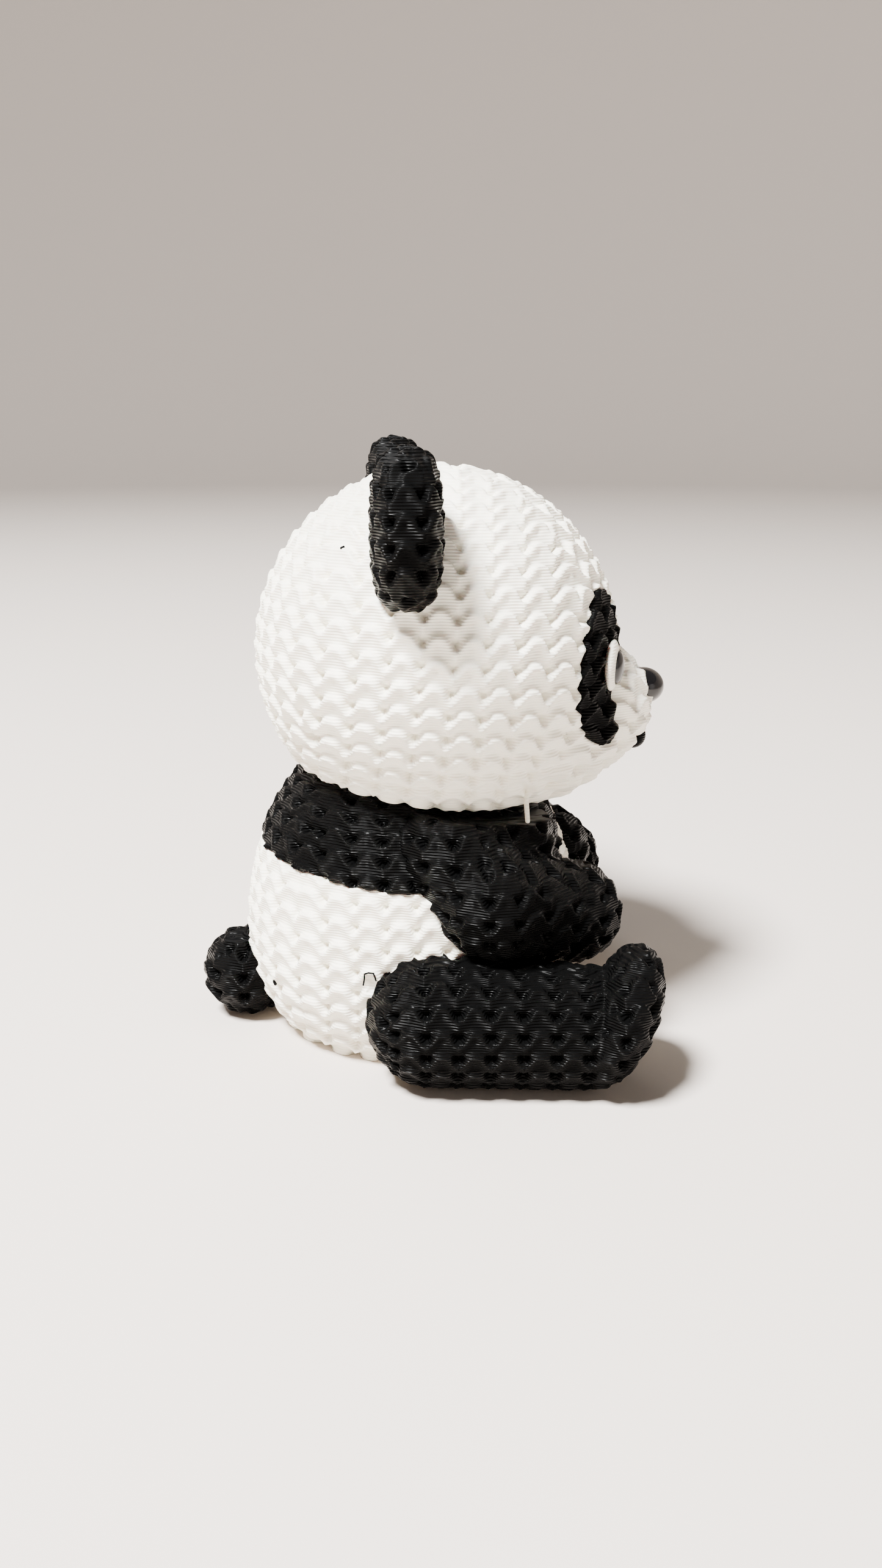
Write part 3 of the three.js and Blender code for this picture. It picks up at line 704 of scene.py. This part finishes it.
def white_print(name, look):
    """White filament, taken to be PLA: warm white, satin, slightly see-through at thin edges."""
    return printed_plastic(
        name,
        tuple(look.white) + (1.0,),
        WHITE_ROUGHNESS,
        look,
        WHITE_LAYER_DEPTH,
        IOR=PLA_IOR,
        Subsurface_Weight=0.1,
        Subsurface_Scale=0.0006,
    )


def black_print(name, look):
    """Black filament, taken to be PLA: deep black with a grey sheen where the layers catch light."""
    return printed_plastic(
        name,
        tuple(look.black) + (1.0,),
        BLACK_ROUGHNESS,
        look,
        BLACK_LAYER_DEPTH,
        IOR=PLA_IOR,
        Specular_IOR_Level=BLACK_SPECULAR,
    )


def gloss_black(name, look):
    """Smooth black plastic of the nose and the pupils: sharp reflections."""
    return new_finish(name, tuple(look.gloss) + (1.0,), GLOSS_ROUGHNESS, IOR=GLOSS_IOR)[0]


FINISHES = {
    "white_print": ("white_pla_print", white_print),
    "black_print": ("black_pla_print", black_print),
    "gloss_black": ("gloss_black_plastic", gloss_black),
}


def finish_of(slot):
    """The finish of a slot, made when it is first asked for."""
    name, make = FINISHES[slot]
    return bpy.data.materials.get(name) or make(name, bpy.context.scene.panda_look)


def finish_piece(name, mesh, body, slot, nodes=()):
    """Makes a named object of a mesh that is in millimetres, and says what it stands for."""
    set_points(mesh, mesh_points(mesh) * MM)
    mesh.shade_smooth()
    mesh.materials.clear()
    mesh.materials.append(finish_of(slot))
    mesh.name = name
    piece = bpy.data.objects.new(name, mesh)
    bpy.context.scene.collection.objects.link(piece)
    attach(piece, body)
    if nodes:
        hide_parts(*nodes)
    return piece


# ---------------------------------------------------------------- the add-on


class PandaLook(bpy.types.PropertyGroup):
    """Sizes of the knit and colours of the plastics"""

    stitch_width: FloatProperty(
        name="Stitch width", description="Width of one knitted stitch, in mm", default=2.235, min=1.0, max=5.0
    )
    row_height: FloatProperty(
        name="Row height", description="Height of one knitted row, in mm", default=1.71, min=0.8, max=5.0
    )
    knit_wave: FloatProperty(
        name="Row wave",
        description="Crest to valley of a row, as a share of its height",
        default=0.57,
        min=0,
        max=1,
    )
    knit_lip: FloatProperty(
        name="Row lip",
        description="Share of a row's height in which it steps back from the row below",
        default=0.3,
        min=0.1,
        max=0.9,
    )
    relief_depth: FloatProperty(
        name="Relief depth",
        description="Depth of the knitted relief",
        default=0.0007,
        min=0,
        max=0.002,
        subtype="DISTANCE",
        unit="LENGTH",
    )
    layer_height: FloatProperty(
        name="Layer height",
        description="Height of one printed layer",
        default=0.0002,
        min=0.00005,
        max=0.001,
        subtype="DISTANCE",
        unit="LENGTH",
    )
    white: FloatVectorProperty(
        name="White",
        description="Colour of the white plastic",
        default=linear("f4efe0")[:3],
        subtype="COLOR",
        size=3,
    )
    black: FloatVectorProperty(
        name="Black",
        description="Colour of the black plastic",
        default=linear("060606")[:3],
        subtype="COLOR",
        size=3,
    )
    gloss: FloatVectorProperty(
        name="Gloss black",
        description="Colour of nose and pupils",
        default=linear("0b0a0b")[:3],
        subtype="COLOR",
        size=3,
    )


class PANDA_OT_torso(bpy.types.Operator):
    """White belly with its bib, and the black shoulders over it"""

    bl_idname = "panda.torso"
    bl_label = "Torso and shoulders"

    def execute(self, context):
        look = context.scene.panda_look
        self.make_belly(look)
        self.make_shoulders(look)
        return {"FINISHED"}

    def make_belly(self, look):
        def relief(points, normals):
            return torso_relief(points, look, WHITE_STITCH) - UNDER_BLACK * covered(yoke_cover(points))

        belly = round_skin(detail(*TORSO_CUTS), TORSO_MIDDLE, torso_form, relief, THROUGH)
        belly = carve(belly, block_behind((0, 0, 0), UP))
        belly = carve(belly, block_behind(NECK - NECK_AXIS * BELLY_TOP_DROP, -NECK_AXIS))
        foot = NECK - NECK_AXIS * (PIN_FOOT + BORE_SPARE)
        belly = carve(belly, rod_tool(foot, NECK_AXIS, THROUGH, PIN_RADIUS + BORE_GAP))
        finish_piece("belly", belly, "torso_body", "white_print", ["lower_torso"])

    def make_shoulders(self, look):
        def relief(points, normals):
            tucked = YOKE_TUCK * (1 - covered(yoke_cover(points)))
            return torso_relief(points, look, BLACK_STITCH) + YOKE_PROUD - tucked

        yoke = round_skin(detail(*TORSO_CUTS), TORSO_MIDDLE, torso_form, relief, THROUGH)
        yoke = carve(yoke, block_behind((0, 0, SEAM_Z - YOKE_LAP), UP))
        yoke = carve(yoke, block_behind(NECK - NECK_AXIS * NECK_GAP, -NECK_AXIS))
        foot = NECK - NECK_AXIS * YOKE_BORE_START
        yoke = carve(yoke, rod_tool(foot, NECK_AXIS, THROUGH, PIN_RADIUS + BORE_GAP))
        finish_piece("shoulders", yoke, "torso_body", "black_print", ["shoulder_yoke"])


class PANDA_OT_neck_pin(bpy.types.Operator):
    """Round pin on which the head turns"""

    bl_idname = "panda.neck_pin"
    bl_label = "Neck pin"

    def execute(self, context):
        bm = rod_tool(NECK - NECK_AXIS * PIN_FOOT, NECK_AXIS, PIN_FOOT + PIN_HEAD, PIN_RADIUS)
        rims = [e for e in bm.edges if len(e.link_faces) == 2 and any(len(f.verts) > 4 for f in e.link_faces)]
        bmesh.ops.bevel(
            bm, geom=rims, offset=PIN_BEVEL, segments=3, profile=0.5, affect="EDGES", material=-1
        )
        finish_piece("neck_pin_round", mesh_from(bm, "pin"), "torso_body", "black_print", ["neck_pin"])
        return {"FINISHED"}


class PANDA_OT_arms(bpy.types.Operator):
    """Both arms, bent forward over the belly"""

    bl_idname = "panda.arms"
    bl_label = "Arms"

    def execute(self, context):
        relief = partial(knit_flat, look=context.scene.panda_look)
        for name, side in SIDES.items():
            parts, form = chain([on_torso(side, *bend) for bend in ARM_BENDS], ARM_RADIUS)
            arm = limb_skin(parts, detail(*ARM_GRAIN), form, relief)
            arm = carve(arm, block_behind(NECK - NECK_AXIS * ARM_TOP_DROP, -NECK_AXIS))
            finish_piece(f"arm_{name}_knit", arm, "torso_body", "black_print", [f"arm_{name}"])
        return {"FINISHED"}


class PANDA_OT_legs(bpy.types.Operator):
    """Both legs, stretched forward on the ground"""

    bl_idname = "panda.legs"
    bl_label = "Legs"

    def execute(self, context):
        for name, side in SIDES.items():
            self.make_leg(context.scene.panda_look, name, side)
        return {"FINISHED"}

    def make_leg(self, look, name, side):
        ahead = np.array([side * math.sin(LEG_SPLAY), -math.cos(LEG_SPLAY), 0])
        hip = np.array([side * torso_radius(LEG_RADIUS), -LEG_START, LEG_RADIUS])
        ankle = hip + ahead * LEG_LENGTH
        ankle[2] = ANKLE_RADIUS
        foot_middle = np.array([ankle[0], ankle[1], FOOT_HALF[2]]) + ahead * FOOT_FORWARD
        turn = Matrix.Rotation(side * LEG_SPLAY, 3, "Z") @ Matrix.Rotation(FOOT_TILT, 3, "X")
        back = np.array(turn.transposed())

        def form(points):
            foot = egg((points - foot_middle) @ back.T, np.zeros(3), FOOT_HALF)
            return merged([bar(points, hip, ankle, LEG_RADIUS, ANKLE_RADIUS), foot], FOOT_FLOW)

        def relief(points, normals):
            along = np.clip((hip[1] - points[:, 1]) / LEG_LENGTH, 0, 1)
            return knit_wrapped(points, normals, hip[0] + along * (ankle[0] - hip[0]), side, look)

        parts = [
            ball_part(hip, (LEG_RADIUS,) * 3),
            ball_part(ankle, (ANKLE_RADIUS,) * 3),
            bar_part(hip, ankle, LEG_RADIUS, ANKLE_RADIUS),
            ball_part(foot_middle, FOOT_HALF, turn),
        ]
        leg = limb_skin(parts, detail(*LEG_GRAIN), form, relief)
        leg = carve(leg, block_behind((0, 0, 0), UP))
        finish_piece(f"leg_{name}_knit", leg, "torso_body", "black_print", [f"leg_{name}"])


class PANDA_OT_tail(bpy.types.Operator):
    """Ball tail behind the belly"""

    bl_idname = "panda.tail"
    bl_label = "Tail"

    def execute(self, context):
        relief = partial(knit_flat, look=context.scene.panda_look)
        middle = np.array([0, torso_radius(TAIL_RADIUS) + TAIL_OUT, TAIL_RADIUS])

        def form(points):
            return np.linalg.norm(points - middle, axis=1) - TAIL_RADIUS

        tail = round_skin(detail(*TAIL_CUTS), middle, form, relief, SMALL_REACH)
        tail = carve(tail, block_behind((0, 0, 0), UP))
        finish_piece("tail_knit", tail, "torso_body", "black_print", ["tail"])
        return {"FINISHED"}


class PANDA_OT_head(bpy.types.Operator):
    """White head with its muzzle"""

    bl_idname = "panda.head"
    bl_label = "Head"

    def execute(self, context):
        look = context.scene.panda_look

        def relief(points, normals):
            under = [covered(patch_cover(points, side)) for side in SIDES.values()]
            return head_relief(points, look) - UNDER_BLACK * np.maximum(*under)

        head = round_skin(detail(*HEAD_CUTS), HEAD_MIDDLE, head_form, relief, THROUGH)
        head = carve(head, block_behind(NECK + NECK_AXIS * NECK_GAP, NECK_AXIS))
        foot = NECK - NECK_AXIS * HEAD_BORE_START
        depth = HEAD_BORE_START + PIN_HEAD + BORE_SPARE
        head = carve(head, rod_tool(foot, NECK_AXIS, depth, PIN_RADIUS + BORE_GAP))
        finish_piece("head_knit", head, "head_body", "white_print", ["head"])
        return {"FINISHED"}


class PANDA_OT_ears(bpy.types.Operator):
    """Both ears, thick round pads that face forward"""

    bl_idname = "panda.ears"
    bl_label = "Ears"

    def execute(self, context):
        relief = partial(knit_flat, look=context.scene.panda_look)
        for name, side in SIDES.items():
            outward = np.array([side * math.cos(EAR_ANGLE), 0, math.sin(EAR_ANGLE)])
            reach = 1 / np.linalg.norm(outward / HEAD_HALF)
            middle = HEAD_MIDDLE + outward * (reach + EAR_STANDOFF) + np.array([0, EAR_BACK, 0])
            form = partial(pad_form, middle=middle)
            ear = round_skin(detail(*EAR_CUTS), middle, form, relief, SMALL_REACH)
            finish_piece(f"ear_{name}_knit", ear, "head_body", "black_print", [f"ear_{name}"])
        return {"FINISHED"}


class PANDA_OT_eyes(bpy.types.Operator):
    """Eye patches, eye whites and pupils"""

    bl_idname = "panda.eyes"
    bl_label = "Eyes"

    def execute(self, context):
        look = context.scene.panda_look
        for name, side in SIDES.items():
            skin, gaze = eye_seat(side)
            self.make_patch(look, name, side, skin, gaze)
            white = (EYE_RADIUS, EYE_HALF_THICKNESS)
            self.make_dome("eye_white", name, skin, gaze, white, "white_print")
            pupil = (PUPIL_RADIUS, PUPIL_HALF_THICKNESS)
            pupil_place = skin + gaze * PUPIL_PROUD - PUPIL_DROP * UP
            self.make_dome("pupil", name, pupil_place, gaze, pupil, "gloss_black")
        return {"FINISHED"}

    def make_patch(self, look, name, side, skin, gaze):
        """A sheet cast onto the head, raised inside the patch's border and sunk under the eye."""
        out, wide, tall = patch_axes(side)
        half_wide = PATCH_HALF_WIDTH + PATCH_MARGIN
        half_tall = PATCH_HALF_HEIGHT + PATCH_MARGIN
        grid = detail(*PATCH_GRID)
        bm = bmesh.new()
        bmesh.ops.create_grid(
            bm, x_segments=round(2 * half_wide / grid), y_segments=round(2 * half_tall / grid), size=1
        )
        flat = np.array([v.co[:] for v in bm.verts])
        starts = PATCH_MIDDLE + np.outer(flat[:, 0] * half_wide, wide)
        starts = starts + np.outer(flat[:, 1] * half_tall, tall)
        points = cast(starts, np.tile(out, (len(starts), 1)), head_form, THROUGH)
        normals = slope(points, head_form)
        cover = np.where(normals @ out > PATCH_FACING, patch_cover(points, side), -WELL_INSIDE)
        rel = points - skin
        off_axis = np.linalg.norm(rel - np.outer(rel @ gaze, gaze), axis=1)
        seat = 1 - step_up(off_axis, EYE_RADIUS - EYE_RIM, EYE_RADIUS + EYE_RIM)
        height = (head_relief(points, look) + PATCH_PROUD) * (1 - seat) - EYE_SEAT_DEPTH * seat
        height = height - PATCH_TUCK * (1 - covered(cover))
        for vert, place in zip(bm.verts, points + normals * height[:, None]):
            vert.co = place
        far = [v for v, inside in zip(bm.verts, cover) if inside < -PATCH_TRIM]
        bmesh.ops.delete(bm, geom=far, context="VERTS")
        bmesh.ops.recalc_face_normals(bm, faces=bm.faces[:])
        if sum(f.normal.dot(Vector(out)) * f.calc_area() for f in bm.faces) < 0:
            bmesh.ops.reverse_faces(bm, faces=bm.faces[:])
        mesh = with_modifier(mesh_from(bm, "patch"), "SOLIDIFY", thickness=PATCH_THICKNESS, offset=-1.0)
        finish_piece(f"eye_patch_{name}_knit", mesh, "head_body", "black_print", [f"eye_patch_{name}"])

    def make_dome(self, label, name, place, gaze, size, slot):
        """A lens-shaped dome that faces along the gaze."""
        radius, half_thickness = size
        bm = bmesh.new()
        bmesh.ops.create_uvsphere(bm, u_segments=BALL_SEGMENTS, v_segments=EYE_RINGS, radius=1)
        bmesh.ops.scale(bm, verts=bm.verts, vec=(radius, radius, half_thickness))
        dome = mesh_from(stood_at(bm, place, gaze), label)
        finish_piece(f"{label}_{name}_dome", dome, "head_body", slot, [f"{label}_{name}"])


class PANDA_OT_nose_mouth(bpy.types.Operator):
    """Glossy nose and the small mouth under it"""

    bl_idname = "panda.nose_mouth"
    bl_label = "Nose and mouth"

    def execute(self, context):
        bm = bmesh.new()
        ball_part(self.muzzle_front(0, NOSE_RISE, NOSE_SUNK), NOSE_HALF)(bm)
        finish_piece("nose_dome", mesh_from(bm, "nose"), "head_body", "gloss_black", ["nose"])
        bends = [
            self.muzzle_front(s * MOUTH_HALF_WIDTH, MOUTH_CURL * s * s - MOUTH_DROP, MOUTH_SUNK)
            for s in np.linspace(-1, 1, MOUTH_STOPS)
        ]
        parts, form = chain(bends, MOUTH_RADIUS)
        mouth = limb_skin(parts, MOUTH_GRAIN, form, no_relief)
        finish_piece("mouth_line", mouth, "head_body", "black_print", ["mouth"])
        return {"FINISHED"}

    def muzzle_front(self, x, rise, sunk):
        """A place on the front of the muzzle, or a little behind it."""
        share = 1 - (x / MUZZLE_HALF[0]) ** 2 - (rise / MUZZLE_HALF[2]) ** 2
        return MUZZLE_MIDDLE + np.array([x, sunk - MUZZLE_HALF[1] * math.sqrt(share), rise])


class PANDA_OT_stray_bits(bpy.types.Operator):
    """Support nub, curled thread and dark flecks that the printer left behind"""

    bl_idname = "panda.stray_bits"
    bl_label = "Printer's stray bits"

    def execute(self, context):
        for name, (body, slot, radii, places) in STRAY_BITS.items():
            points = [np.array(place) for place in places]
            sizes = np.linspace(*radii, len(points))
            stretches = list(zip(points, points[1:], sizes, sizes[1:]))
            parts = [ball_part(point, (size,) * 3) for point, size in zip(points, sizes)]
            parts += [bar_part(*stretch) for stretch in stretches]

            def form(at):
                return merged([bar(at, *stretch) for stretch in stretches], BIT_FLOW)

            bit = limb_skin(parts, min(radii) / BIT_GRAINS, form, no_relief)
            finish_piece(name, bit, body, slot)
        return {"FINISHED"}


class PANDA_OT_stage(bpy.types.Operator):
    """Pale floor that curves up, soft lights and the camera"""

    bl_idname = "panda.stage"
    bl_label = "Stage"

    def execute(self, context):
        scene = context.scene
        self.make_floor(scene)
        self.light_room(scene)
        for name, (place, aim, size, power) in LIGHTS.items():
            self.hang_light(scene, name, Vector(place), Vector(aim), size, power)
        self.place_camera(scene)
        return {"FINISHED"}

    def make_floor(self, scene):
        bm = bmesh.new()
        profile = [(0, 0), (FLOOR_RADIUS, 0)]
        profile += [
            (FLOOR_RADIUS + FLOOR_CURVE * math.sin(a), FLOOR_CURVE - FLOOR_CURVE * math.cos(a))
            for a in np.radians(np.arange(10, 91, 10))
        ]
        profile += [(FLOOR_RADIUS + FLOOR_CURVE, WALL_TOP)]
        verts = [bm.verts.new((x, 0, z)) for x, z in profile]
        edges = [bm.edges.new(pair) for pair in zip(verts, verts[1:])]
        bmesh.ops.spin(
            bm,
            geom=verts + edges,
            cent=(0, 0, 0),
            axis=(0, 0, 1),
            angle=2 * math.pi,
            steps=FLOOR_STEPS,
            use_merge=True,
        )
        bmesh.ops.remove_doubles(bm, verts=bm.verts[:], dist=1e-5)
        bmesh.ops.recalc_face_normals(bm, faces=bm.faces[:])
        if min(bm.faces, key=lambda f: f.calc_center_median().length).normal.z < 0:
            bmesh.ops.reverse_faces(bm, faces=bm.faces[:])
        mesh = mesh_from(bm, "studio_floor")
        mesh.shade_smooth()
        mesh.materials.append(self.studio_paper())
        floor = bpy.data.objects.new("studio_floor", mesh)
        scene.collection.objects.link(floor)

    def studio_paper(self):
        """Matt background paper, pale and without gloss."""
        return new_finish("matt_studio_paper", linear("cdc3ba"), PAPER_ROUGHNESS)[0]

    def light_room(self, scene):
        world = bpy.data.worlds.new("soft_room")
        world.use_nodes = True
        background = world.node_tree.nodes["Background"]
        background.inputs["Color"].default_value = linear("f4f1ee")
        background.inputs["Strength"].default_value = ROOM_STRENGTH
        scene.world = world

    def hang_light(self, scene, name, place, aim, size, power):
        lamp = bpy.data.lights.new(name, "AREA")
        lamp.shape = "DISK"
        lamp.size = size
        lamp.energy = power
        holder = bpy.data.objects.new(name, lamp)
        holder.location = place
        holder.rotation_euler = (aim - place).to_track_quat("-Z", "Y").to_euler()
        scene.collection.objects.link(holder)

    def place_camera(self, scene):
        lens = bpy.data.cameras.new("camera")
        lens.sensor_fit = "VERTICAL"
        lens.sensor_height = SENSOR_HEIGHT
        lens.lens = FOCAL_LENGTH
        lens.clip_start = 0.005
        lens.clip_end = 10
        camera = bpy.data.objects.new("camera", lens)
        level = Vector((math.cos(CAMERA_TURN), -math.sin(CAMERA_TURN), 0))
        camera.location = (Vector((0, -CAMERA_FORWARD, CAMERA_Z)) - CAMERA_AWAY * level) * MM
        view = level * math.cos(CAMERA_DOWN) - Vector((0, 0, math.sin(CAMERA_DOWN)))
        camera.rotation_euler = view.to_track_quat("-Z", "Y").to_euler()
        scene.collection.objects.link(camera)
        scene.camera = camera


OPERATORS = (
    PANDA_OT_torso,
    PANDA_OT_neck_pin,
    PANDA_OT_arms,
    PANDA_OT_legs,
    PANDA_OT_tail,
    PANDA_OT_head,
    PANDA_OT_ears,
    PANDA_OT_eyes,
    PANDA_OT_nose_mouth,
    PANDA_OT_stray_bits,
    PANDA_OT_stage,
)


class PANDA_PT_sidebar(bpy.types.Panel):
    bl_idname = "PANDA_PT_sidebar"
    bl_label = "Printed panda"
    bl_space_type = "VIEW_3D"
    bl_region_type = "UI"
    bl_category = "Panda"

    def draw(self, context):
        look = context.scene.panda_look
        for name in PandaLook.__annotations__:
            self.layout.prop(look, name)
        for operator in OPERATORS:
            self.layout.operator(operator.bl_idname)


def register():
    for kind in (PandaLook, *OPERATORS, PANDA_PT_sidebar):
        bpy.utils.register_class(kind)
    bpy.types.Scene.panda_look = PointerProperty(type=PandaLook)


def unregister():
    del bpy.types.Scene.panda_look
    for kind in reversed((PandaLook, *OPERATORS, PANDA_PT_sidebar)):
        bpy.utils.unregister_class(kind)


def main():
    register()
    for operator in OPERATORS:
        space, name = operator.bl_idname.split(".")
        getattr(getattr(bpy.ops, space), name)()


if __name__ == "__main__":
    main()
